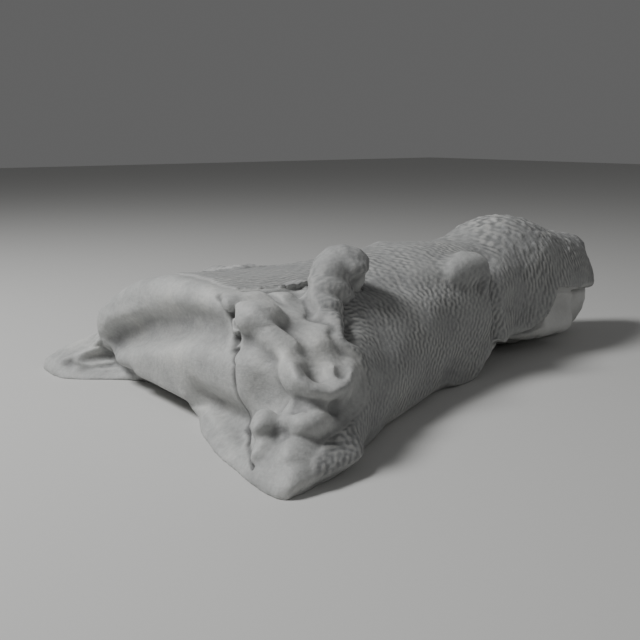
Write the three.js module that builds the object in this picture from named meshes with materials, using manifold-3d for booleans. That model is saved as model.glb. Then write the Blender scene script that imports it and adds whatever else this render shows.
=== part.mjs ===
// A fossil crocodilian skull without its lower jaw, at life size, lying on its jaw joints and snout tip.
// Millimetres. +X runs from the back of the skull to the snout tip, +Y to the animal's left, +Z up.
// The floor is Z = 0. While it is modelled, X = 0 is at the jaw joints and Y = 0 is the middle of the skull.
import * as THREE from "three";
import { mergeVertices } from "three/addons/utils/BufferGeometryUtils.js";
import Module from "manifold-3d";

const wasm = await Module();
wasm.setup();

// Driving dimensions
const SKULL_LENGTH = 450;
const JOINT_HALF_WIDTH = 164;
const RIM_HALF_WIDTH = 137;
const ROOF_HEIGHT = 87;
const RIM_X = 44;
const SEAM = 0.35;
const BEYOND = 600;

// How finely the skin is faceted
const UPPER_LEFT = 13;
const UPPER_RIGHT = 24;
const UNDERSIDE = 25;
const REAR_RINGS = 19;
const STATIONS = 42;

// A smooth function of one length through a few named stations, each a pair of place and value.
function through(stations) {
  const slope = (i) => {
    const a = stations[Math.max(i - 1, 0)];
    const b = stations[Math.min(i + 1, stations.length - 1)];
    return (b[1] - a[1]) / (b[0] - a[0]);
  };
  return (at) => {
    if (at <= stations[0][0]) return stations[0][1];
    if (at >= stations.at(-1)[0]) return stations.at(-1)[1];
    const i = stations.findIndex((s) => s[0] > at) - 1;
    const [x0, v0] = stations[i];
    const [x1, v1] = stations[i + 1];
    const span = x1 - x0;
    const t = (at - x0) / span;
    const rise = t * t * (3 - 2 * t);
    const pull = t * (1 - t) * span * ((1 - t) * slope(i) - t * slope(i + 1));
    return v0 + (v1 - v0) * rise + pull;
  };
}

function smooth(from, to, at) {
  const t = Math.min(Math.max((at - from) / (to - from), 0), 1);
  return t * t * (3 - 2 * t);
}

function hump(at, middle, width) {
  return Math.exp(-(((at - middle) / width) ** 2));
}

// Profiles along the skull
const halfWidth = through([
  [44, RIM_HALF_WIDTH], [62, 137], [80, 131], [103, 119], [131, 106], [158, 94], [188, 83],
  [215, 75], [245, 68], [268, 62], [284, 57], [297, 53], [310, 50], [326, 50], [346, 51],
  [370, 49], [395, 43], [415, 35], [435, 24], [445, 15], [SKULL_LENGTH, 8],
]);
const roof = through([
  [44, ROOF_HEIGHT], [100, 85], [146, 87], [190, 91], [224, 95], [270, 94], [290, 96],
  [306, 102], [322, 109], [338, 111], [360, 106], [388, 97], [415, 90], [428, 88],
  [440, 81], [446, 73], [SKULL_LENGTH, 60],
]);
const waist = through([
  [44, 6], [118, 18], [182, 26], [245, 32], [300, 45], [345, 48], [420, 48], [SKULL_LENGTH, 52],
]);
const margin = through([
  [44, -4], [225, -4], [246, 2], [262, 9], [285, 13], [310, 13], [335, 10], [380, 9],
  [400, 12], [430, 30], [SKULL_LENGTH, 46],
]);
const vault = through([
  [44, 4], [75, 12], [110, 20], [200, 20], [250, 15], [300, 6], [345, 10], [400, 4], [430, 0],
]);
const squareness = through([
  [44, 2], [150, 2], [245, 2.3], [300, 2.2], [345, 2.15], [400, 2.3], [SKULL_LENGTH, 2],
]);

const LOWER_SQUARENESS = 5;

// The rear margin where it meets the floor, from the right jaw joint to the left one
const foot = through([
  [-JOINT_HALF_WIDTH, -2], [-140, -3], [-108, 2], [-84, 5], [-45, 19], [-20, 33], [4, 42],
  [78, 44], [94, 28], [110, 8], [124, -2], [JOINT_HALF_WIDTH, -2],
]);
// The plate over the nape, from its lower edge up to the rim of the roof
const nape = through([[8, 26], [22, 22.5], [48, 22], [66, 29], [80, 33], [ROOF_HEIGHT, RIM_X]]);

// How far a jaw joint has flared back and out at a height
const flare = (z) => smooth(40, 2, z);

// How far back the rear face stands
function rearFace(y, z) {
  const joint = RIM_X - (RIM_X - foot(y)) * flare(z);
  const valley = 9 * hump(z, 17, 9) * smooth(-15, -40, y) * smooth(-108, -84, y);
  const plate = nape(z) - (nape(z) - foot(y)) * smooth(16, 0, z) + valley;
  const beside = y < 0 ? smooth(-84, -134, y) : smooth(106, 122, y);
  return plate + (joint - plate) * beside;
}

// Smooth joins and cuts of two distances, over a width
function join(a, b, width) {
  const near = Math.max(width - Math.abs(a - b), 0) / width;
  return Math.min(a, b) - near * near * width * 0.25;
}
const cut = (a, b, width) => -join(-a, b, width);

// The main form: a skin of rounded cross-sections with a hollow palate and the rear face
function mainForm(x, y, z) {
  const at = Math.max(x, RIM_X);
  const out = flare(z) * (1 - smooth(RIM_X, 82, x)) * (JOINT_HALF_WIDTH - RIM_HALF_WIDTH);
  const wide = halfWidth(at) + out;
  const from = waist(at);
  const high = z >= from ? roof(at) - from : from - margin(at);
  const power = z >= from ? squareness(at) : LOWER_SQUARENESS;
  const reach = ((Math.abs(y) / wide) ** power + (Math.abs(z - from) / high) ** power) ** (1 / power);
  const radius = Math.hypot(y, z - from);
  let form = reach < 1e-6 ? -20 : radius * (1 - 1 / reach);
  const inner = y / (0.8 * wide);
  const palate = margin(at) + (Math.abs(inner) < 1 ? vault(at) * (1 - inner * inner) ** 0.7 : 0);
  form = cut(form, z - palate, 3);
  form = cut(form, x - rearFace(y, z), 4 + 12 * smooth(30, 80, z));
  return Math.max(form, x - SKULL_LENGTH);
}

function ellipsoid(x, y, z, lengthX, widthY, heightZ, turnZ = 0) {
  const c = Math.cos(turnZ);
  const s = Math.sin(turnZ);
  return (px, py, pz) => {
    const dx = px - x;
    const dy = py - y;
    const u = (dx * c + dy * s) / lengthX;
    const v = (dy * c - dx * s) / widthY;
    const w = (pz - z) / heightZ;
    const near = Math.hypot(u, v, w);
    const steep = Math.hypot(u / lengthX, v / widthY, w / heightZ);
    return steep < 1e-9 ? -Math.min(lengthX, widthY, heightZ) : (near * (near - 1)) / steep;
  };
}

// A rounded rod through points, each with its own radius
function rod(...points) {
  const legs = points.slice(1).map((end, i) => [points[i], end]);
  return (px, py, pz) => {
    let least = Infinity;
    for (const [a, b] of legs) {
      const [dx, dy, dz] = [b[0] - a[0], b[1] - a[1], b[2] - a[2]];
      const along = (px - a[0]) * dx + (py - a[1]) * dy + (pz - a[2]) * dz;
      const t = Math.min(Math.max(along / (dx * dx + dy * dy + dz * dz), 0), 1);
      const away = Math.hypot(px - a[0] - t * dx, py - a[1] - t * dy, pz - a[2] - t * dz);
      least = Math.min(least, away - a[3] - t * (b[3] - a[3]));
    }
    return least;
  };
}

const SIDES = [-1, 1];
const onBothSides = (make) => SIDES.flatMap((side) => make(side));

// Forms that rise from the main one, each with the width over which it blends in
const RAISED = [
  // The raised roof plate beside the temple, with its free edge over the gap
  ...onBothSides((side) => [[rod([64, 104 * side, 56, 10], [86, 88 * side, 62, 10]), 8]]),
  // The swelling of the upper jaw behind the snout notch, and a low one on the jaw edge
  ...onBothSides((side) => [
    [ellipsoid(250, 43 * side, 75, 26, 12, 14, -0.3 * side), 8],
    [ellipsoid(266, 47 * side, 66, 9, 10, 14), 5],
    [ellipsoid(226, 68 * side, 12, 22, 10, 12, -0.35 * side), 8],
  ]),
  // Lumps on top of the nasal boss and the small one at the very tip
  [ellipsoid(435, 0, 77, 11, 15, 11), 6],
];

// Hollows, each with the width over which its edge is rounded
const SUNK = [
  // The trough under the rim of the roof
  [rod([22, -70, 66, 10], [22, -25, 64, 11], [22, 43, 49, 11], [22, 78, 36, 9], [22, 106, 20, 5]), 12],
  // The groove beside the right ear, and the shallow pit below it
  [rod([22, -97, 64, 5], [24, -115, 53, 5]), 6],
  [ellipsoid(8, -104, 38, 10, 10, 12), 10],
  // Under the lower edge of the plate, and the recess between it and the left jaw joint
  [rod([20, 2, -6, 12], [20, 64, -5, 12]), 4],
  [rod([22, 78, 5, 6], [27, 102, 13, 7], [33, 126, 18, 6]), 5],
  // The notch between the bones of the snout
  ...onBothSides((side) => [[rod([300, 66 * side, 52, 9], [300, 62 * side, 8, 15]), 8]]),
  // The hollow in front of each eye boss
  ...onBothSides((side) => [[ellipsoid(165, 60 * side, 96, 30, 17, 17, -0.35 * side), 10]]),
];

// Negative inside the bone, positive outside, about the distance to its surface
function bone(x, y, z) {
  let near = mainForm(x, y, z);
  for (const [form, width] of RAISED) near = join(near, form(x, y, z), width);
  for (const [form, width] of SUNK) near = cut(near, form(x, y, z), width);
  return near;
}

// Where a line from outside to inside first meets the bone, found in small steps and then by halving.
// A line that misses the bone gives the place expected without lumps.
function meet(outside, inside, expected) {
  const point = new THREE.Vector3();
  const steps = Math.ceil(outside.distanceTo(inside) / 2.5);
  const value = (t) => {
    point.lerpVectors(outside, inside, t);
    return bone(point.x, point.y, point.z);
  };
  let k = 0;
  while (k <= steps && value(k / steps) > 0) k++;
  if (k > steps) return expected;
  let [a, b] = [Math.max(k - 1, 0) / steps, k / steps];
  for (let i = 0; i < 12; i++) {
    const middle = (a + b) / 2;
    if (value(middle) > 0) a = middle;
    else b = middle;
  }
  value((a + b) / 2);
  return point.clone();
}

// The turns of a cross-section: turn 0 is the left side, a quarter turn the roof, half a turn the right side.
function turnsAround() {
  const spread = (from, to, count) => Array.from({ length: count }, (_, i) => from + ((to - from) * i) / count);
  const quarter = Math.PI / 2;
  return [
    ...spread(0, quarter, UPPER_LEFT),
    ...spread(quarter, 2 * quarter, UPPER_RIGHT),
    ...spread(2 * quarter, 4 * quarter, UNDERSIDE),
  ];
}

// The place of a turn on the outline of the cross-section at x, before any lumps
function outline(x, turn) {
  const c = Math.cos(turn);
  const s = Math.sin(turn);
  const power = 2 / squareness(x);
  const side = s >= 0 ? Math.sign(c) * Math.abs(c) ** power : c;
  const down = (1 - Math.abs(c) ** LOWER_SQUARENESS) ** (1 / LOWER_SQUARENESS);
  const from = waist(x);
  const z = s >= 0 ? from + (roof(x) - from) * s ** power : from - (from - margin(x)) * down;
  const back = flare(z) * (1 - smooth(RIM_X, 82, x));
  const y = (halfWidth(x) + (JOINT_HALF_WIDTH - RIM_HALF_WIDTH) * back) * side;
  return new THREE.Vector3(x - (RIM_X - foot(y)) * back, y, z);
}

function skullSkin() {
  const turns = turnsAround();
  const rings = [];
  const middle = new THREE.Vector3(60, 0, 40);
  const rim = turns.map((turn) => outline(RIM_X, turn));
  for (let k = 1; k <= REAR_RINGS; k++) {
    const share = 0.97 * (k / REAR_RINGS) ** 0.9;
    rings.push(
      rim.map((edge) => {
        const y = edge.y * share;
        const z = middle.z + (edge.z - middle.z) * share;
        const face = new THREE.Vector3(rearFace(y, z), y, z);
        return meet(new THREE.Vector3(-30, y, z), new THREE.Vector3(60, y, z), face);
      }),
    );
  }
  for (let i = 0; i <= STATIONS; i++) {
    const x = RIM_X + 2 + (SKULL_LENGTH - RIM_X - 3) * (i / STATIONS) ** 1.12;
    rings.push(
      turns.map((turn) => {
        const edge = outline(x, turn);
        if (turn > Math.PI) {
          const under = new THREE.Vector3(edge.x, edge.y * 0.99, -12);
          return meet(under, new THREE.Vector3(edge.x, edge.y * 0.99, waist(x) + 20), edge);
        }
        const centre = new THREE.Vector3(edge.x + (i === 0 ? 8 : 0), 0, waist(x));
        const away = edge.clone().sub(centre);
        const outside = centre.clone().addScaledVector(away, 1.35);
        return meet(outside, centre.clone().addScaledVector(away, 0.3), edge);
      }),
    );
  }
  const rear = meet(new THREE.Vector3(-30, 0, middle.z), middle, middle);
  return skinOver(rings, rear, new THREE.Vector3(SKULL_LENGTH, 0, waist(SKULL_LENGTH)));
}

function solidOf(geometry) {
  const bare = geometry.index ? geometry.toNonIndexed() : geometry.clone();
  bare.deleteAttribute("normal");
  bare.deleteAttribute("uv");
  const merged = mergeVertices(bare, 1e-3);
  return new wasm.Manifold(
    new wasm.Mesh({
      numProp: 3,
      vertProperties: merged.attributes.position.array,
      triVerts: new Uint32Array(merged.index.array),
    }),
  );
}

// A closed skin over rings of equal length, with a point at each end
function skinOver(rings, firstPole, lastPole) {
  const around = rings[0].length;
  const points = [firstPole, ...rings.flat(), lastPole];
  const index = [];
  const at = (ring, j) => 1 + ring * around + (j % around);
  const last = points.length - 1;
  for (let j = 0; j < around; j++) {
    index.push(0, at(0, j + 1), at(0, j));
    index.push(last, at(rings.length - 1, j), at(rings.length - 1, j + 1));
    for (let ring = 0; ring + 1 < rings.length; ring++) {
      const [a, b, c, d] = [at(ring, j), at(ring, j + 1), at(ring + 1, j + 1), at(ring + 1, j)];
      if (points[a].distanceTo(points[c]) < points[b].distanceTo(points[d])) {
        index.push(a, b, c, a, c, d);
      } else {
        index.push(a, b, d, b, c, d);
      }
    }
  }
  const geometry = new THREE.BufferGeometry().setFromPoints(points).setIndex(index);
  const made = solidOf(geometry);
  if (made.volume() > 0) return made;
  geometry.setIndex(index.reverse());
  return solidOf(geometry);
}

function egg(x, y, z, lengthX, widthY, heightZ, turnZ = 0, sides = 12) {
  const ball = new THREE.SphereGeometry(1, sides, Math.ceil(sides * 0.7));
  return solidOf(ball.scale(lengthX, widthY, heightZ).rotateZ(turnZ).translate(x, y, z));
}

// A round bar along a smooth line, with a rounded end at each side
function bar(line, radius) {
  const points = line.map((p) => new THREE.Vector3(...p));
  const path = new THREE.CatmullRomCurve3(points);
  const round = new THREE.Shape().absarc(0, 0, radius, 0, Math.PI * 2);
  const tube = new THREE.ExtrudeGeometry(round, {
    extrudePath: path,
    steps: Math.ceil(path.getLength() / radius),
    bevelEnabled: false,
    curveSegments: 4,
  });
  const caps = [points[0], points.at(-1)].map((p) => egg(p.x, p.y, p.z, radius, radius, radius, 0, 8));
  return wasm.Manifold.union([solidOf(tube), ...caps]);
}

function block(x0, x1, y0, y1, z0, z1) {
  const box = new THREE.BoxGeometry(x1 - x0, y1 - y0, z1 - z0);
  return solidOf(box.translate((x0 + x1) / 2, (y0 + y1) / 2, (z0 + z1) / 2));
}

// The bony lumps of the right ear region and jaw joint, from the top down
function rightEarLumps() {
  return [
    egg(42, -76, 71, 17, 14, 13, 0, 14),
    bar([[36, -68, 71], [37, -92, 62], [42, -112, 51]], 7),
    bar([[38, -106, 55], [34, -121, 48], [36, -130, 42], [50, -132, 38], [62, -129, 41]], 7),
    egg(63, -124, 44, 12, 9, 10, 0, 14),
    egg(36, -132, 28, 17, 14, 12, 0.5, 14),
    egg(17, -119, 24, 8, 8, 10),
    egg(12, -127, 13, 7, 6, 9),
    egg(18, -142, 14, 8, 7, 9),
  ];
}

// The oval plate and the wedge of bone beside each opening of the roof
function templeLumps() {
  return onBothSides((side) => [
    egg(66, 74 * side, 67, 14, 13, 8, 0, 14),
    egg(97, 62 * side, 73, 13, 9, 6, 0.6 * side),
  ]);
}

// Openings through the bone, in the roof, behind the cheek and in the palate
function openings() {
  const pairs = onBothSides((side) => [
    egg(88, 60 * side, 92, 15, 12, 19, 0.3 * side),
    bar([[62, 127 * side, 47], [78, 112 * side, 54], [96, 92 * side, 66]], 6.5),
    egg(190, 46 * side, 22, 40, 15, 26, -0.35 * side),
  ]);
  return [...pairs, egg(96, 0, 24, 14, 9, 18)];
}

// Empty tooth sockets along each jaw edge
function toothSockets() {
  const sockets = [];
  for (const side of SIDES) {
    for (let x = 150; x <= 366; x += 27) {
      if (x > 262 && x < 325) continue;
      const y = halfWidth(x) * 0.83 * side;
      sockets.push(egg(x, y, Math.max(margin(x), 0), 4.6, 4.6, 8, 0, 6));
    }
  }
  return sockets;
}

// The smooth bone inside the snout tip, which shows below and in front of the outer wall
function snoutCore(grow = 0) {
  const low = egg(396, 0, 32, 51 + grow, 31 + grow, 33 + grow, 0, 16);
  const keel = egg(350, 0, 18, 46 + grow, 24 + grow, 19 + grow);
  return low.add(keel).intersect(block(0, BEYOND, -BEYOND, BEYOND, 0, BEYOND));
}

// The outer wall is cut back over the nostril, from its front edge to the lower margin.
function nostrilCut() {
  const box = new THREE.BoxGeometry(120, 130, 50);
  return solidOf(box.rotateY(0.1).translate(445, 0, 21));
}

// The right boss stands high. The left one is low, as nothing shows over the roof there.
function eyeBoss(side, grow = 0) {
  const [y, z] = side < 0 ? [-50, 90] : [62, 66];
  return egg(127, y, z, 20 + grow, 17 + grow, 15 + grow, 0.5 * side);
}

// Cuts between the named bones
const REAR_CUT = 60;
const EYE_CUT = 205;
const SNOUT_CUT = 299;
const TABLE_HALF_WIDTH = 72;
const PLATE_HALF_WIDTH = 98;
const HALF_SEAM = SEAM / 2;

function bones() {
  const bossBeds = onBothSides((side) => [eyeBoss(side, SEAM)]);
  const hollows = wasm.Manifold.union([
    ...openings(),
    ...toothSockets(),
    nostrilCut(),
    snoutCore(SEAM),
    ...bossBeds,
    block(-BEYOND, BEYOND, -BEYOND, BEYOND, -BEYOND, 0),
  ]);
  const whole = wasm.Manifold.union([skullSkin(), ...rightEarLumps(), ...templeLumps()]);
  const skull = whole.subtract(hollows);
  const part = (x0, x1, y0, y1) => {
    const pieces = skull.intersect(block(x0, x1, y0, y1, -20, 200)).decompose();
    return pieces.reduce((a, b) => (a.volume() > b.volume() ? a : b));
  };
  return {
    premaxilla: part(SNOUT_CUT + HALF_SEAM, BEYOND, -BEYOND, BEYOND),
    snout_core: snoutCore(),
    maxilla_right: part(EYE_CUT + HALF_SEAM, SNOUT_CUT - HALF_SEAM, -BEYOND, -HALF_SEAM),
    maxilla_left: part(EYE_CUT + HALF_SEAM, SNOUT_CUT - HALF_SEAM, HALF_SEAM, BEYOND),
    skull_table: part(REAR_CUT + HALF_SEAM, EYE_CUT - HALF_SEAM, -TABLE_HALF_WIDTH, TABLE_HALF_WIDTH),
    cheek_right: part(REAR_CUT + HALF_SEAM, EYE_CUT - HALF_SEAM, -BEYOND, -TABLE_HALF_WIDTH - SEAM),
    cheek_left: part(REAR_CUT + HALF_SEAM, EYE_CUT - HALF_SEAM, TABLE_HALF_WIDTH + SEAM, BEYOND),
    occipital: part(-BEYOND, REAR_CUT - HALF_SEAM, -PLATE_HALF_WIDTH, PLATE_HALF_WIDTH),
    quadrate_right: part(-BEYOND, REAR_CUT - HALF_SEAM, -BEYOND, -PLATE_HALF_WIDTH - SEAM),
    quadrate_left: part(-BEYOND, REAR_CUT - HALF_SEAM, PLATE_HALF_WIDTH + SEAM, BEYOND),
    eye_boss_right: eyeBoss(-1),
    eye_boss_left: eyeBoss(1),
  };
}

const TEXTURED_BONE = { color: 0x8a8b8c, roughness: 0.62, metalness: 0 };
const SMOOTH_BONE = { color: 0xb4b6b6, roughness: 0.5, metalness: 0 };
const SMOOTH_NODES = ["snout_core", "occipital", "quadrate_right", "quadrate_left"];

function meshOf(name, solid) {
  const made = solid.getMesh();
  const geometry = new THREE.BufferGeometry();
  geometry.setAttribute("position", new THREE.BufferAttribute(made.vertProperties, 3));
  geometry.setIndex(new THREE.BufferAttribute(made.triVerts, 1));
  geometry.computeVertexNormals();
  const look = SMOOTH_NODES.includes(name) ? SMOOTH_BONE : TEXTURED_BONE;
  const mesh = new THREE.Mesh(geometry, new THREE.MeshStandardMaterial(look));
  mesh.name = name;
  return mesh;
}

const skull = new THREE.Group();
for (const [name, solid] of Object.entries(bones())) skull.add(meshOf(name, solid));
const extent = new THREE.Box3().setFromObject(skull);
skull.position.set(-(extent.min.x + extent.max.x) / 2, -(extent.min.y + extent.max.y) / 2, 0);

export default skull;
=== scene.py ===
# %% [markdown]
# # A fossil crocodilian skull
# A museum shows such a skull as one mass of grown-together bones, smooth at the back and rippled over the
# cheeks and snout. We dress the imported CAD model: fuse its bones into one skin, carve the fine forms into
# it, and light it like a cast on a table. Lengths in the carving are millimetres, and x is counted from the
# jaw joints towards the snout, y to the animal's left, z up.

import bpy
import numpy as np
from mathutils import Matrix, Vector
from mathutils.bvhtree import BVHTree


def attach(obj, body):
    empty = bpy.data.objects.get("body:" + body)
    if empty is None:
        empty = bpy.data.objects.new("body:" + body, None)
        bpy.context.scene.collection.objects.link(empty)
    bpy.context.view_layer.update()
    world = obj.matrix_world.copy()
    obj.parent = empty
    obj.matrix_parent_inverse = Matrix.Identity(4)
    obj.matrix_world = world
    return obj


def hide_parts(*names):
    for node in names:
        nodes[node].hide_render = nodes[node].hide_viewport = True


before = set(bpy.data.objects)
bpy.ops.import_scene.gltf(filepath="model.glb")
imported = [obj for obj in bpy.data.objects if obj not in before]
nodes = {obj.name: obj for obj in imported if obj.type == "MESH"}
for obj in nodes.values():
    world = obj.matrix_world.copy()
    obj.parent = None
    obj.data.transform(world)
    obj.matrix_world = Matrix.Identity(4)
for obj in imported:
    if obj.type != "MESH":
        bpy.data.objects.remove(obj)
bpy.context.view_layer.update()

# %% [markdown]
# The CAD model stands with the middle of its box over the origin, so the jaw joints lie nearly half a
# skull's length behind it. One voxel is the width of the small squares that the skin will be made of. A
# millimetre is fine enough for ripples of four millimetres.

# %% Places and fineness
JOINTS_X = -223.45
VOXEL = 1.05


def deselect_all():
    for o in list(bpy.context.selected_objects):
        o.select_set(False)


def activate(obj):
    deselect_all()
    obj.select_set(True)
    bpy.context.view_layer.objects.active = obj


def to_metres(points):
    return (points + np.array([JOINTS_X, 0, 0])) / 1000


print("voxel size in mm:", VOXEL)

# %% [markdown]
# ## One skin from all the bones
# On the real skull the sutures have closed, so no gap may show. We copy each bone, merge its loose
# triangles and grow it by half a millimetre, so that it reaches over the seam to its neighbour. Closing the
# gaps by hand would leave a visible line at each one.

# %% Copy and grow the bones
GROWTH = 0.0005
MERGE = 1e-6
copies = []
for name, node in nodes.items():
    copy = node.copy()
    copy.data = node.data.copy()
    bpy.context.scene.collection.objects.link(copy)
    copy.parent = None
    copy.matrix_world = node.matrix_world.copy()
    activate(copy)
    bpy.ops.object.mode_set(mode="EDIT")
    bpy.ops.mesh.select_all(action="SELECT")
    bpy.ops.mesh.remove_doubles(threshold=MERGE)
    bpy.ops.object.mode_set(mode="OBJECT")
    grown = copy.modifiers.new("grow", "DISPLACE")
    grown.strength = GROWTH
    grown.mid_level = 0.0
    bpy.ops.object.modifier_apply(modifier=grown.name)
    copies.append(copy)
print("bones copied:", len(copies))

# %% [markdown]
# The eye boss grows out of a wall of bone that runs down to the cheek, the pits between the ear lumps are
# shallow, and a swelling stands before the snout notch. Stretched spheres lay these masses in before the
# skin is fused: each has a centre, three half lengths and a turn about the upright axis in degrees.

# %% Masses under the eye boss, the ear and the swelling
EYE_WALL = [((113, -57, 87), (15, 11, 12), 20), ((104, -63, 79), (18, 13, 10), 10)]
EYE_WALL += [((91, -72, 72), (13, 12, 8), -30), ((126, -61, 91), (14, 9, 8), 0)]
EYE_WALL += [((104, -62, 78), (20, 11, 8), 0)]
EAR_FILL = [((27, -131, 18), (12, 12, 10), 0), ((66, -113, 44), (20, 15, 11), 0)]
EAR_FILL += [((74, -104, 51), (15, 12, 8), -30)]
SWELLINGS = [((240, -50, 73), (25, 11, 14), 12)]
LEFT_SIDE = [((112, 60, 68), (16, 9, 9), -10), ((238, 49, 71), (25, 10, 12), -12)]
masses = EYE_WALL + EAR_FILL + SWELLINGS + LEFT_SIDE
for centre, radii, turn in masses:
    deselect_all()
    place = tuple(to_metres(np.array(centre)))
    bpy.ops.mesh.primitive_uv_sphere_add(segments=32, ring_count=20, radius=0.001, location=place)
    mass = bpy.context.object
    mass.scale = radii
    mass.rotation_euler = (0, 0, np.radians(turn))
    copies.append(mass)
print("masses:", len(masses))

# %% [markdown]
# All bones and masses become one object. A voxel remesh then fuses what overlaps into one even, closed skin
# of small squares, which a Boolean union wouldn't give.

# %% Join and remesh
deselect_all()
for copy in copies:
    copy.select_set(True)
bpy.context.view_layer.objects.active = copies[0]
bpy.ops.object.join()
skin = bpy.context.object
skin.name = "skin"
activate(skin)
remesh = skin.modifiers.new("remesh", "REMESH")
remesh.mode = "VOXEL"
remesh.voxel_size = VOXEL / 1000
bpy.ops.object.modifier_apply(modifier=remesh.name)
print("skin vertices:", len(skin.data.vertices))

# %% [markdown]
# ## Read the skin into arrays
# A sculptor would now take a brush, but a brush needs a window. We move many points at once with arrays
# instead: P holds the places, E the edges, Q the squares and N the normals.

# %% Arrays
mesh = skin.data
count = len(mesh.vertices)
coordinates = np.empty(count * 3, np.float32)
mesh.vertices.foreach_get("co", coordinates)
P = coordinates.reshape(-1, 3).astype(np.float64) * 1000
P[:, 0] -= JOINTS_X
ends = np.empty(len(mesh.edges) * 2, np.int32)
mesh.edges.foreach_get("vertices", ends)
E = ends.reshape(-1, 2)
loops = np.empty(len(mesh.loops), np.int32)
mesh.loops.foreach_get("vertex_index", loops)
Q = loops.reshape(-1, 4)
neighbours = np.bincount(E.ravel(), minlength=count)
print("edges:", len(E), "squares:", len(Q))

# %% [markdown]
# Smoothing needs the mean place of each point's neighbours, and carving needs the way out of the bone,
# which is the sum of the crossed diagonals of the squares round a point.

# %% Neighbours and normals
def neighbour_mean(values):
    there = np.bincount(E[:, 0], values[E[:, 1]], count)
    back = np.bincount(E[:, 1], values[E[:, 0]], count)
    return (there + back) / neighbours


def smooth_step(points, factor):
    mean = np.stack([neighbour_mean(points[:, i]) for i in range(3)], 1)
    return points + (mean - points) * factor


def normals_of(points):
    a, b, c, d = (points[Q[:, i]] for i in range(4))
    face = np.cross(c - a, d - b)
    out = np.zeros_like(points)
    for i in range(4):
        for axis in range(3):
            out[:, axis] += np.bincount(Q[:, i], face[:, axis], count)
    return out / np.maximum(np.linalg.norm(out, axis=1), 1e-9)[:, None]


print("mean number of neighbours:", round(float(neighbours.mean()), 2))

# %% [markdown]
# The CAD model has flat facets, and bone has none. Pulling each point towards its neighbours and then
# pushing back a little more irons the facets out and keeps the size of the form, where plain smoothing
# would shrink it.

# %% Iron out the facets
ROUNDS = 36
PULL = 0.62
PUSH = -0.64
before = P.copy()
for _ in range(ROUNDS):
    P = smooth_step(P, PULL)
    P = smooth_step(P, PUSH)
P[:, 2] = np.maximum(P[:, 2], 0)
print("mean move in mm:", float(np.linalg.norm(P - before, axis=1).mean()))

# %% [markdown]
# ## Tools for carving
# `step` is a soft switch, `blob` a soft spot round a place, `near` the distance to a line through places
# with the share of the way along it, and `swirl` a smooth random field made of a few waves.

# %% Soft masks
def step(start, end, at):
    t = np.clip((at - start) / (end - start), 0, 1)
    return t * t * (3 - 2 * t)


def bell(distance, width):
    return np.exp(-((distance / width) ** 2))


def blob(centre, size):
    return np.exp(-(((P - np.array(centre)) / np.array(size)) ** 2).sum(1))


def near(*line, weights=(1, 1, 1)):
    best = np.full(count, 1e9)
    along = np.zeros(count)
    for k in range(len(line) - 1):
        a = np.array(line[k]) * weights
        leg = np.array(line[k + 1]) * weights - a
        t = np.clip(((P * weights - a) @ leg) / (leg @ leg), 0, 1)
        away = np.linalg.norm(P * weights - a - t[:, None] * leg, axis=1)
        closer = away < best
        best[closer] = away[closer]
        along[closer] = k + t[closer]
    return best, along / (len(line) - 1)


def swirl(size, seed):
    rng = np.random.default_rng(seed)
    total = np.zeros(count)
    for _ in range(9):
        way = rng.normal(size=3)
        way *= 2 * np.pi / (size * rng.uniform(0.7, 1.5) * np.linalg.norm(way))
        total += np.sin(P @ way + rng.uniform(0, 6.28))
    return total / 3


print("a spot reaches", int((blob((0, 0, 0), (9, 9, 9)) > 0.5).sum()), "points")

# %% [markdown]
# `carve` moves the skin out or in, along its normals or a given way, and never below the floor. `soften`
# blends what it weighs, or only fills its creases. `ridge` carves a soft ridge, or a groove where its
# height is below zero, along a line.

# %% Carving tools
def carve(amount, way=None):
    global P, N
    P = P + (N if way is None else np.array(way)) * amount[:, None]
    P[:, 2] = np.maximum(P[:, 2], 0)
    N = normals_of(P)


def soften(weight, rounds, only_fill=False):
    global P, N
    for _ in range(rounds):
        pull = smooth_step(P, 1.0) - P
        if only_fill:
            pull = N * np.maximum((pull * N).sum(1), 0)[:, None]
        P = P + pull * weight[:, None]
    P[:, 2] = np.maximum(P[:, 2], 0)
    N = normals_of(P)


def ridge(height, width, *line, way=None, weights=(1, 1, 1), where=1.0):
    away = near(*line, weights=weights)[0]
    carve(height * bell(away, width) * where, way)
    return away


N = normals_of(P)
print("points facing up:", int((N[:, 2] > 0.7).sum()))

# %% [markdown]
# ## The forms flow into each other
# On the real bone one form flows into the next. The creases between the lumps of the ear region, round the
# eye wall and at the snout tip are filled first, and what remains is blended a little.

# %% Blend the ear region, the eye wall and the tip
ear = step(100, 84, P[:, 0]) * step(-48, -62, P[:, 1]) * step(2, 8, P[:, 2])
soften(0.9 * ear, 70, only_fill=True)
soften(0.5 * ear, 24)
wall = blob((112, -58, 84), (22, 16, 18)) + blob((240, -52, 74), (34, 18, 20))
wall = wall + blob((114, 60, 70), (24, 16, 18))
soften(np.clip(wall * 1.4, 0, 0.9), 40, only_fill=True)
soften(np.clip(wall, 0, 0.5), 10)
tip = blob((408, 0, 34), (26, 48, 20)) * step(22, 30, P[:, 2])
soften(np.clip(tip * 1.6, 0, 0.9), 40, only_fill=True)
print("softened points:", int((ear > 0.5).sum()), int((wall > 0.3).sum()))

# %% [markdown]
# ## The rear of the skull
# A thick rim hangs over a trough, and below them a smooth plate ends in a sharp lower ridge. The trough
# gets deeper, the rim fuller and the ridge sharper. The numbers are a height or depth, a width, and the
# line.

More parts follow.
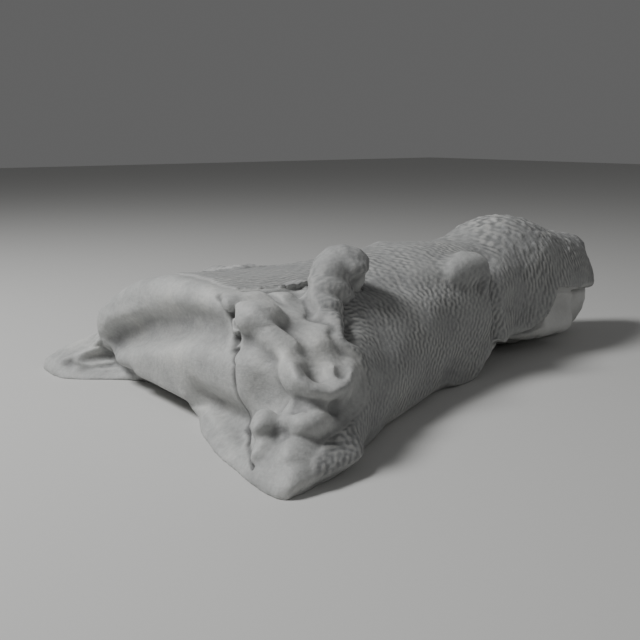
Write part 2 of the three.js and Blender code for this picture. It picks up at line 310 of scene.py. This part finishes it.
# %% Trough, rim and lower ridge
away, along = near((30, -70, 66), (33, -25, 61), (32, 43, 46), (29, 78, 35), (28, 100, 24))
carve(-4.5 * bell(away, 12) * np.sin(np.pi * np.clip(along * 0.9 + 0.08, 0, 1)))
ridge(2.2, 9, (38, -46, 80), (38, -10, 83), (40, 40, 78), (40, 80, 66), (38, 108, 46), (34, 120, 26))
ridge(3.4, 3.4, (33, -8, 4), (31, -36, 8), (21, -70, 5), (8, -104, 3), way=(-0.8, 0, 0.3))
ridge(-3.2, 8, (25, -34, 24), (29, -45, 21), (23, -66, 17), (14, -92, 11), way=(-0.9, 0, 0.4))
print("deepest part of the trough reached:", int((away < 3).sum()), "points")

# %% [markdown]
# On the left the jaw joint's flap has an upper band with a hollow under it. The rear face slopes there, so
# for those two lines distances along x count for less.

# %% The left flap
FLAT_X = (0.3, 1, 1)
at_rear = step(50, 40, P[:, 0])
under_band = [(24, 60, 13), (19, 102, 6), (9, 113, 6), (3, 126, 8)]
ridge(-6.5, 5, *under_band, way=(-1, 0, 0), weights=FLAT_X, where=at_rear)
at_rear = step(50, 40, P[:, 0])
band = [(2, 131, 12), (16, 122, 17), (30, 112, 21)]
ridge(1.8, 3, *band, way=(-0.8, 0, 0.4), weights=FLAT_X, where=at_rear)
ridge(1.8, 4, (24, 78, 25), (27, 100, 26), (31, 124, 27), way=(-0.7, 0, 0.5))
print("points at the rear:", int((at_rear > 0.5).sum()))

# %% [markdown]
# A thin crack runs down between the plate and the right ear region, with a small hole and two notches
# beside it. It is found mostly by its distance across the rear face, so that it follows the skin in and
# out.

# %% Crack, hole and notches
CRACK = [(41, -40, 82), (39, -45, 80), (35, -54, 74), (33, -61, 63), (29, -69, 55), (24, -80, 49)]
CRACK += [(24, -83, 29), (25, -85, 12), (8, -119, 10), (2, -130, 8)]
away = near(*CRACK, weights=(0.15, 1, 1))[0]
crack = bell(away, 1.15) * (0.7 + 0.3 * np.clip(swirl(20, 5), -1, 1)) * step(60, 50, P[:, 0])
crack = crack * step(0.3, -0.1, N[:, 0])
carve(-2.2 * crack)
carve(-9 * blob((32, -67, 60), (8, 2.8, 2.6)), (-1, 0, 0))
carve(-5 * blob((28, -72, 54), (6, 4, 3.6)), (-1, 0, 0))
carve(-5 * blob((36, -57, 74), (6, 2.4, 3)), (-1, 0, 0))
carve(2.2 * blob((38, -52, 80), (5, 4.5, 4.5)))
print("points in the crack:", int((crack > 0.5).sum()))

# %% [markdown]
# ## The right ear region
# From the top a short pillar, a slanting ridge with a groove under it, a hook that curls forward, one large
# lump and three small knobs. Each is a ridge or a spot of its own, so that it can be moved or made higher.

# %% Pillar and slanting ridge
ridge(2.0, 2.6, (37, -50, 80), (35, -57, 73), (34, -62, 65))
ridge(4.2, 5, (36, -66, 78), (36, -82, 76), (40, -93, 69), (46, -104, 60))
ridge(-4.0, 7, (33, -64, 72), (32, -80, 64), (30, -93, 60), (31, -102, 57), (36, -110, 53))
print("slanting ridge carved")

# %% [markdown]
# The hook's end runs out into the cheek on the real bone. It is softened last, because a ridge that simply
# stops leaves a spike.

# %% Hook, lump and knobs
OUT_REAR = (-0.5, -0.7, 0)
hook = [(34, -120, 56), (31, -129, 50), (35, -135, 45), (46, -138, 41), (60, -134, 42)]
ridge(6.5, 5, *hook, way=(-0.5, -0.7, 0.3))
ridge(-4.5, 4, (20, -126, 38), (30, -137, 36), (50, -139, 33))
carve(6.0 * blob((30, -139, 29), (12, 11, 7)), OUT_REAR)
ridge(-4.0, 4, (18, -130, 20), (24, -141, 18), (38, -147, 18))
carve(-2.5 * blob((24, -102, 40), (12, 10, 14)))
knobs = 4.5 * blob((10, -123, 25), (8, 5, 5)) + 4.5 * blob((5, -128, 13), (8, 5, 5))
carve(knobs, (-0.8, -0.3, 0.2))
carve(-3.0 * blob((16, -134, 22), (9, 6, 7)), (-0.8, -0.3, 0))
carve(5.0 * blob((13, -147, 17), (8, 6, 6)), (-0.7, -0.5, 0.2))
hook_end = 1.2 * blob((64, -132, 40), (13, 12, 12)) + 1.5 * blob((60, -115, 47), (15, 12, 10))
soften(np.clip(hook_end, 0, 0.85), 28)
print("ear region carved")

# %% [markdown]
# Behind the eye lie a low dome, an oval plate and a small wedge of bone, with dark gaps between them.

# %% Dome, plate and wedge
carve(2.4 * blob((58, -52, 82), (11, 8, 8)) + 3.0 * blob((76, -57, 79), (8, 6.5, 6)))
carve(3.4 * blob((101, -38, 83), (9, 4.5, 5)))
carve(-3.5 * blob((67, -55, 81), (2.6, 9, 8)) - 4.0 * blob((88, -52, 79), (5, 7, 6)))
ridge(-2.4, 2.2, (54, -44, 83), (75, -46, 83), (96, -44, 82))
print("plates behind the eye carved")

# %% [markdown]
# ## Where the rippled bone begins
# The rippled bone is a layer a few millimetres thick with a free edge. It starts at the rim on the roof,
# steps forward round the temple, and comes back to the jaw joint low on the cheek. The edge is kept as
# pairs of the distance out from the middle and the x at which the layer starts there.

# %% The layer of rippled bone
OUTLINE = [(0, 48), (38, 50), (42, 106), (47, 103), (55, 96), (67, 87), (86, 77), (99, 81)]
OUTLINE += [(110, 74), (119, 60), (126, 72), (132, 60), (142, 34), (150, 22), (165, 18)]
out = np.abs(P[:, 1])
edge_x = np.interp(out, [o for o, _ in OUTLINE], [x for _, x in OUTLINE])
over_hook = step(108, 116, out) * step(14, 36, P[:, 2])
edge_x = edge_x + np.maximum(84 - edge_x, 0) * over_hook + 1.2 * swirl(14, 11)
facing = step(-0.35, -0.05, N[:, 2])
layer = step(-1.2, 1.2, P[:, 0] - edge_x) * facing
behind = bell(P[:, 0] - edge_x + 3, 2.4) * facing * step(62, 74, out) * step(116, 108, out)
thick = (3.6 * step(36, 46, out) + 0.7) * (1 - 0.7 * step(112, 124, out))
carve(thick * layer * np.exp(-np.maximum(P[:, 0] - edge_x, 0) / 30))
carve(-2.0 * behind)
soften(0.7 * bell(P[:, 0] - edge_x, 6) * facing * step(46, 58, out), 10)
print("layer covers", round(float(layer.mean()), 3))

# %% [markdown]
# At the snout tip the rippled bone ends too, with a lip over a smooth bowl of inner bone on each side. The
# ripples also fade on the worn tops of the eye boss and of the swellings.

# %% The lip at the snout tip
LIP_X = [262, 303, 324, 339, 345, 351, 369, 416, 432]
LIP_Z = [22, 20, 23, 31, 43, 54, 53, 47, 45]
above = P[:, 2] - np.interp(P[:, 0], LIP_X, LIP_Z) - 0.5 * swirl(12, 17)
at_snout = step(262, 272, P[:, 0])
covered = step(-0.9, 0.9, above)
worn = np.clip(1.4 * (blob((246, -49, 85), (15, 10, 9)) + blob((246, 49, 85), (15, 10, 9))), 0, 1)
worn_boss = np.clip(1.2 * blob((118, -58, 98), (18, 14, 10)), 0, 1)
rippled = layer * (1 - at_snout * (1 - covered)) * (1 - 0.8 * worn) * (1 - 0.6 * worn_boss)
carve(2.6 * at_snout * covered * np.exp(-np.maximum(above, 0) / 14))
carve(-3.4 * at_snout * bell(above + 3.2, 2.4) * step(430, 400, P[:, 0]))
print("rippled share:", round(float(rippled.mean()), 3))

# %% [markdown]
# Under the lip the inner bone shows as a smooth bowl on each side, and a groove runs along the jaw's edge
# behind it. The same lines serve both sides: s is -1 on the animal's right and 1 on its left.

# %% The bowls of inner bone
SIDES = (-1, 1)
for s in SIDES:
    bowl = blob((368, 48 * s, 38), (22, 14, 13)) * (1 - covered) * at_snout
    carve(12.0 * bowl, (0.3, -1.0 * s, 0))
    soften(np.clip(1.5 * blob((396, 40 * s, 36), (14, 16, 16)), 0, 0.9), 30, only_fill=True)
    ridge(-4.0, 3.2, (296, 50 * s, 17), (324, 51 * s, 19), (340, 52 * s, 26))
print("bowls carved:", len(SIDES))

# %% [markdown]
# ## The eye and the jaw
# The eye boss hangs over a hollow in front, and the swelling before the snout notch ends in a steep front
# edge. The left side is worn lower, so its boss and swelling are weaker.

# %% Eye, swelling and snout notch
for s in SIDES:
    right = s < 0
    high = 86 if right else 70
    carve(-5.0 * blob((149, 60 * s, high), (11, 12, 9)) - 2.5 * blob((168, 60 * s, 82), (22, 14, 12)))
    away = ridge(-2.6, 5, (142, 60 * s, high + 5), (130, 68 * s, high), (119, 68 * s, high - 5))
    soften(np.clip(1.5 * bell(away, 8), 0, 0.6), 8)
    carve(-2.5 * blob((205, 62 * s, 82), (22, 10, 14)))
    front = step(261, 258, P[:, 0] + 0.3 * (P[:, 2] - 75))
    across = np.exp(-(((P[:, 1] - 51 * s) / 10) ** 2) - ((P[:, 2] - 80) / 11) ** 2)
    carve((8.0 if right else 3.5) * step(208, 255, P[:, 0]) * across * front)
    crest = [(244, 46 * s, 87), (252, 51 * s, 84), (257, 58 * s, 74), (255, 62 * s, 65)]
    ridge(3.5 if right else 1.5, 4.5, *crest, where=front)
    notch = [(276, 44 * s, 88), (268, 52 * s, 78), (268, 60 * s, 64), (268, 64 * s, 46), (270, 62 * s, 26)]
    ridge(-5.5, 9, *notch, where=step(256, 264, P[:, 0]))
    away = ridge(-2.5, 5, (99, 90 * s, 64), (84, 104 * s, 58), (66, 120 * s, 49))
    soften(np.clip(1.5 * bell(away, 9), 0, 0.8), 12)
print("highest point in mm:", round(float(P[:, 2].max()), 1))

# %% [markdown]
# Real bone is never quite even: a slow swell of under a millimetre runs over all of it, and small knobs
# stand on top of the snout.

# %% Uneven bone
carve(0.7 * swirl(38, 21) * step(60, 100, P[:, 0]) + 0.25 * swirl(38, 23))
snout_knobs = np.maximum(swirl(10, 31), 0) * step(290, 320, P[:, 0]) * step(0.2, 0.8, N[:, 2])
carve(0.7 * snout_knobs + 0.12 * swirl(7, 33) * rippled)
print("points on knobs:", int((snout_knobs > 0.5).sum()))

# %% [markdown]
# ## Ripples
# The bone of the cheeks and snout is covered in broken ridges about four millimetres apart. They are a
# random field made of many waves with the same spacing: waves that all point about the same way give long
# broken ridges, and waves that point everywhere give round bumps. They are carved, not painted, so that
# they catch the light from every side.

# %% Ripple fields
def ripple(spacing, way, spread, seed):
    rng = np.random.default_rng(seed)
    total = np.zeros(count)
    for _ in range(16):
        wave = np.array(way) + spread * rng.normal(size=3)
        wave *= 2 * np.pi / (spacing * rng.uniform(0.85, 1.2) * np.linalg.norm(wave))
        total += np.sin(P @ wave + rng.uniform(0, 6.28))
    return np.tanh(total / 3)


facing_up = step(0.55, 0.85, N[:, 2])
on_snout = step(262, 300, P[:, 0])
on_strip = step(140, 110, P[:, 0]) * facing_up
cheek_ripple = ripple(3.8, (0.87, 0.1, -0.5), 0.46, 41)
snout_ripple = ripple(3.9, (1, 0.1, -0.1), 0.45, 43)
roof_ripple = ripple(3.8, (0.25, 1, 0), 0.35, 45)
bumps = ripple(5.2, (0, 0, 0), 1, 47)
print("rippled points:", int((rippled > 0.5).sum()))

# %% [markdown]
# Each region takes its own field, and the strength changes slowly from place to place, as wear does. The
# smooth bone gets a relief of under a tenth of a millimetre.

# %% Carve the ripples
relief = cheek_ripple * (1 - on_snout) + snout_ripple * on_snout
relief = relief * (1 - on_strip) + roof_ripple * on_strip
relief = relief * (1 - on_snout * facing_up) + bumps * on_snout * facing_up
relief = relief * np.clip(0.7 + 0.35 * swirl(30, 49), 0.25, 1.2)
carve((0.15 + 0.07 * on_snout) * relief * rippled)
carve(0.07 * ripple(5, (1, 1, 0.3), 0.6, 51) * (1 - rippled))
print("ripples run over", round(float(rippled.mean()), 3), "of the skin")

# %% [markdown]
# ## Masks for the material
# Soft masks tell the material how rippled the bone is, how high a point lies on its ripple, how hollow its
# surroundings are, and where the free edge, the crack and the inner bone are. The material paints shade and
# light from them: painted shade in the ripple valleys, the hollows and the crack, and painted highlights on
# the ripple crests, the bulges, the free edge and the inner bone.

# %% Masks
wide = P.copy()
for _ in range(30):
    wide = smooth_step(wide, 0.7)
hollow = ((wide - P) * N).sum(1)
masks = {
    "rippled": rippled,
    # the relief mask drives painted shade in the ripple valleys and a painted highlight on the crests
    "relief": 0.5 + 0.5 * relief * rippled,
    # the hollow mask drives painted shade in the hollows and painted light on the bulges
    "hollow": np.clip(0.5 + hollow * 0.6, 0, 1),
    # the edge mask drives a painted highlight on the free edge
    "edge": bell(P[:, 0] - edge_x, 1.8) * facing,
    # the crack mask drives painted shade in the crack
    "crack": crack,
    # the inner mask drives painted light on the inner bone
    "inner": at_snout * (1 - covered) * step(332, 350, P[:, 0]),
}
print("masks:", {name: round(float(values.mean()), 3) for name, values in masks.items()})

# %% [markdown]
# ## One piece for each bone
# Each square of the skin belongs to the bone of the CAD model that lies nearest to it, so the pieces meet
# along the real sutures and each stands for one bone.

# %% Find the nearest bone of each square
corners = []
triangles = []
owners = []
names = list(nodes)
for number, name in enumerate(names):
    node = nodes[name]
    first = len(corners)
    corners += [node.matrix_world @ v.co for v in node.data.vertices]
    triangles += [[first + i for i in p.vertices] for p in node.data.polygons]
    owners += [number] * len(node.data.polygons)
nearest = BVHTree.FromPolygons(corners, triangles)
owner = np.array([owners[nearest.find_nearest(Vector(m))[2]] for m in to_metres(P[Q].mean(1))])
print("squares of each bone:", {name: int((owner == i).sum()) for i, name in enumerate(names)})

# %% [markdown]
# Each bone's squares become a mesh of their own, with the masks and the normals of the whole skin, so that
# no edge shows where two pieces meet.

# %% Cut the skin into pieces
pieces = {}
for number, name in enumerate(names):
    squares = Q[owner == number]
    used, flat = np.unique(squares, return_inverse=True)
    piece_mesh = bpy.data.meshes.new(name + "_skin")
    piece_mesh.from_pydata(to_metres(P[used]).tolist(), [], flat.reshape(-1, 4).tolist())
    for mask, values in masks.items():
        attribute = piece_mesh.attributes.new(mask, "FLOAT", "POINT")
        attribute.data.foreach_set("value", values[used].astype(np.float32))
    piece_mesh.polygons.foreach_set("use_smooth", [True] * len(squares))
    piece_mesh.update()
    piece_mesh.normals_split_custom_set_from_vertices(N[used].tolist())
    piece = bpy.data.objects.new(name + "_skin", piece_mesh)
    bpy.context.scene.collection.objects.link(piece)
    pieces[name] = piece
bpy.data.objects.remove(skin)
print("most triangles in a piece:", 2 * max(len(p.data.polygons) for p in pieces.values()))

# %% [markdown]
# ## Materials
# Colours are written as hex values and changed to linear light by one function. `add` adds a node with its
# settings, links those inputs that are given a socket, and sets the stops of a colour ramp.

# %% Colour and node helpers
def colour(hex_text):
    parts = [int(hex_text[i:i + 2], 16) / 255 for i in (0, 2, 4)]
    return tuple(c / 12.92 if c <= 0.04045 else ((c + 0.055) / 1.055) ** 2.4 for c in parts) + (1.0,)


def add(tree, kind, inputs=None, stops=(), **settings):
    node = tree.nodes.new(kind)
    for key, value in settings.items():
        setattr(node, key, value)
    for key, value in (inputs or {}).items():
        if isinstance(value, bpy.types.NodeSocket):
            tree.links.new(value, node.inputs[key])
        else:
            node.inputs[key].default_value = value
    for _ in stops[2:]:
        node.color_ramp.elements.new(0.5)
    for k, (place, shade) in enumerate(stops):
        node.color_ramp.elements[k].position = place
        node.color_ramp.elements[k].color = shade
    return node


print("white is", colour("ffffff"))

# %% [markdown]
# ## Fossil bone
# The real thing is fossil bone: its pores have filled with minerals, and it was cleaned with fine tools and
# left bare. To the eye it is dull, even grey stone, with a faint gloss only where it is smooth. Bone
# mineral has an IOR near 1.6. We keep the shader's own 1.5 and weaken its mirror light, because open pores
# scatter it. Four noise patterns give what is too fine to carve. Their scales are counts to the metre, and
# the cell prints the size of each in millimetres. Real pores are finer than the grain, which is as coarse
# as it needs to show.

# %% Patterns and finish of the bone
PATTERNS = {
    "clouds": (26.0, 6.0, 0.6),
    "specks": (420.0, 4.0, 0.7),
    "grain": (900.0, 3.0, 0.6),
    "fibres": (190.0, 5.0, 0.6),
}
FIBRE_STRETCH = (1.0, 0.35, 2.2)
SMOOTH_ROUGHNESS = 0.52
ROUGHER_RIPPLES = 0.14
MIRROR_LIGHT = 0.35
print("patterns in mm:", {name: round(1000 / scale, 1) for name, (scale, _, _) in PATTERNS.items()})

# %% [markdown]
# The colour is laid on in coats, as a painter of casts would do. The smooth bone has faint clouds, and the
# rippled bone is greyer, with painted shade in its valleys and a painted highlight on its crests. Clouds,
# specks, painted shade in the hollows and painted light on the bulges go over both. The free edge and the
# inner bone at the snout get a painted highlight, and the crack gets painted shade.

# %% Colour of the bone
SMOOTH_STOPS = [(0.3, colour("a3a4a3")), (0.5, colour("b4b5b4")), (0.72, colour("bfbfbd"))]
# the rippled bone's greyer tone, with painted shade in the ripple valleys and a painted highlight on the
# crests
RIPPLED_TONE_AND_SHADE_STOPS = [(0.12, colour("878888")), (0.5, colour("9c9d9d")), (0.9, colour("afafad"))]
CLOUD_STOPS = [(0.25, (0.80, 0.80, 0.81, 1)), (0.75, (1.12, 1.12, 1.1, 1))]
SPECK_STOPS = [(0.3, (0.80, 0.80, 0.80, 1)), (0.62, (1.06, 1.06, 1.05, 1))]
# painted shade and light: darker in the hollows, paler on the bulges
PAINTED_CAVITY_LIGHT_STOPS = [(0.3, (1.12, 1.12, 1.12, 1)), (0.5, (1, 1, 1, 1)), (0.85, (0.5, 0.5, 0.51, 1))]
# painted highlights on the free edge and the inner bone, and painted shade in the crack
PAINTED_LIGHT_MARKS = [("edge", 0.4, "b9b9b7"), ("inner", 0.6, "dcdcda"), ("crack", 0.85, "3a3a3a")]


def bone_colour(tree, noise, mask):
    ramp = "ShaderNodeValToRGB"
    tone = add(tree, ramp, {"Fac": noise["clouds"]}, SMOOTH_STOPS).outputs["Color"]
    # painted shade in the ripple valleys and a painted highlight on the crests
    ripple_tone_and_shade = add(tree, ramp, {"Fac": mask["relief"]}, RIPPLED_TONE_AND_SHADE_STOPS).outputs["Color"]
    cloudy = add(tree, ramp, {"Fac": noise["clouds"]}, CLOUD_STOPS).outputs["Color"]
    speckled = add(tree, ramp, {"Fac": noise["specks"]}, SPECK_STOPS).outputs["Color"]
    # painted shade in the hollows and painted light on the bulges
    painted_cavity_light = add(tree, ramp, {"Fac": mask["hollow"]}, PAINTED_CAVITY_LIGHT_STOPS).outputs["Color"]
    coats = [("MIX", mask["rippled"], ripple_tone_and_shade), ("MULTIPLY", 0.8, cloudy)]
    coats += [("MULTIPLY", 0.7, speckled), ("MULTIPLY", 0.7, painted_cavity_light)]
    # painted highlights and painted shade laid over the tone
    for name, share, shade in PAINTED_LIGHT_MARKS:
        amount = add(tree, "ShaderNodeMath", {0: mask[name], 1: share}, operation="MULTIPLY").outputs[0]
        coats.append(("MIX", amount, colour(shade)))
    for blend, amount, shade in coats:
        inputs = {0: amount, 6: tone, 7: shade}
        tone = add(tree, "ShaderNodeMix", inputs, data_type="RGBA", blend_type=blend).outputs[2]
    return tone


print("painted_light_marks:", [name for name, _, _ in PAINTED_LIGHT_MARKS])

# %% [markdown]
# Pores, fine grain and fibres roughen the surface by about half a millimetre. Most are finer than the
# squares of the skin, so a bump shows them without more faces.

# %% Fine relief of the bone
BUMP_STRENGTH = 0.55
BUMP_HEIGHT = 0.0006
FINE_SHARES = [("grain", 0.5), ("fibres", 0.8)]


def bone_relief(tree, noise):
    height = noise["specks"]
    for name, share in FINE_SHARES:
        part = add(tree, "ShaderNodeMath", {0: noise[name], 1: share}, operation="MULTIPLY").outputs[0]
        height = add(tree, "ShaderNodeMath", {0: height, 1: part}, operation="ADD").outputs[0]
    inputs = {"Strength": BUMP_STRENGTH, "Distance": BUMP_HEIGHT, "Height": height}
    return add(tree, "ShaderNodeBump", inputs).outputs["Normal"]


print("bump height in mm:", BUMP_HEIGHT * 1000)

# %% [markdown]
# The rippled and the smooth bone share one recipe, because the masks already say where the bone is rippled.
# They get a material each, since a reuser may want to change only one. Every pattern reads Object
# coordinates, so it runs on over the seams between the pieces.

# %% Bone materials
def bone_material(name):
    material = bpy.data.materials.new(name)
    material.use_nodes = True
    tree = material.node_tree
    shader = tree.nodes["Principled BSDF"]
    place = add(tree, "ShaderNodeTexCoord").outputs["Object"]
    stretched = add(tree, "ShaderNodeMapping", {"Vector": place, "Scale": FIBRE_STRETCH}).outputs[0]
    noise = {}
    for kind, (scale, detail, rough) in PATTERNS.items():
        at = stretched if kind == "fibres" else place
        inputs = {"Vector": at, "Scale": scale, "Detail": detail, "Roughness": rough}
        noise[kind] = add(tree, "ShaderNodeTexNoise", inputs).outputs["Fac"]
    mask = {kind: add(tree, "ShaderNodeAttribute", attribute_name=kind).outputs["Fac"] for kind in masks}
    inputs = {0: mask["rippled"], 1: ROUGHER_RIPPLES}
    rougher = add(tree, "ShaderNodeMath", inputs, operation="MULTIPLY").outputs[0]
    roughness = add(tree, "ShaderNodeMath", {0: SMOOTH_ROUGHNESS, 1: rougher}, operation="ADD").outputs[0]
    tree.links.new(bone_colour(tree, noise, mask), shader.inputs["Base Color"])
    tree.links.new(roughness, shader.inputs["Roughness"])
    tree.links.new(bone_relief(tree, noise), shader.inputs["Normal"])
    shader.inputs["Specular IOR Level"].default_value = MIRROR_LIGHT
    return material


materials = {slot: bone_material(slot) for slot in ("textured_bone", "smooth_bone")}
print("materials:", list(materials))

# %% [markdown]
# Each piece takes the place of the bone it was cut for. The back of the skull, the jaw joints and the bone
# inside the snout are the smooth ones.

# %% Dress the pieces
SMOOTH_NODES = ("occipital", "quadrate_right", "quadrate_left", "snout_core")
for name, piece in pieces.items():
    slot = "smooth_bone" if name in SMOOTH_NODES else "textured_bone"
    piece.data.materials.append(materials[slot])
    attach(piece, "root")
    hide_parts(name)
print("pieces:", sorted(p.name for p in pieces.values()))

# %% [markdown]
# ## Floor, light and camera
# The floor is a board with matt emulsion paint, so it has almost no gloss. It is 8 m wide, so its far edge
# lies well behind the skull, as a dim horizon.

# %% Floor
FLOOR_WIDTH = 8
FLOOR_ROUGHNESS = 0.9
deselect_all()
bpy.ops.mesh.primitive_plane_add(size=FLOOR_WIDTH, location=(0, 0, 0))
floor = bpy.context.object
floor.name = "floor"
floor_material = bpy.data.materials.new("floor_paint")
floor_material.use_nodes = True
floor_shader = floor_material.node_tree.nodes["Principled BSDF"]
floor_shader.inputs["Base Color"].default_value = colour("c9c9c7")
floor_shader.inputs["Roughness"].default_value = FLOOR_ROUGHNESS
floor.data.materials.append(floor_material)
print("floor at z", floor.location.z)

# %% [markdown]
# One soft light stands high behind the skull's left side, so that its light grazes the ripples. A weak one
# from the right keeps the cheek readable, and a dim even sky lifts the shadows. Places are in metres and
# powers in watts.

# %% Lights
LIGHTS = [("key", (-0.85, 0.36, 1.1), (-0.05, 0, 0.05), 0.4, 18)]
LIGHTS += [("fill", (0.6, -1.5, 1.1), (0.15, 0, 0.05), 0.9, 1.8)]
SKY_STRENGTH = 0.16
for name, place, target, width, power in LIGHTS:
    deselect_all()
    bpy.ops.object.light_add(type="AREA", location=place)
    light = bpy.context.object
    light.name = name
    light.data.size = width
    light.data.energy = power
    light.rotation_euler = (Vector(target) - Vector(place)).to_track_quat("-Z", "Y").to_euler()
world = bpy.context.scene.world or bpy.data.worlds.new("world")
bpy.context.scene.world = world
world.use_nodes = True
background = world.node_tree.nodes["Background"]
background.inputs["Color"].default_value = colour("e6e6e6")
background.inputs["Strength"].default_value = SKY_STRENGTH

# %% [markdown]
# The camera stands behind the skull on its right, a little above it, and looks along the cheek to the
# snout. Its place and direction were fitted to the two jaw joints on a level floor, because a guess by eye
# drifts.

# %% Camera
CAMERA_PLACE = (-0.46395, -0.4992, 0.1802)
CAMERA_DIRECTION = (0.599, 0.773, -0.208)
camera_data = bpy.data.cameras.new("camera")
camera = bpy.data.objects.new("camera", camera_data)
bpy.context.scene.collection.objects.link(camera)
camera_data.lens = 50
camera_data.sensor_width = 36
camera.location = CAMERA_PLACE
camera.rotation_euler = Vector(CAMERA_DIRECTION).to_track_quat("-Z", "Y").to_euler()
bpy.context.scene.camera = camera
print("camera at", tuple(round(c, 3) for c in camera.location))
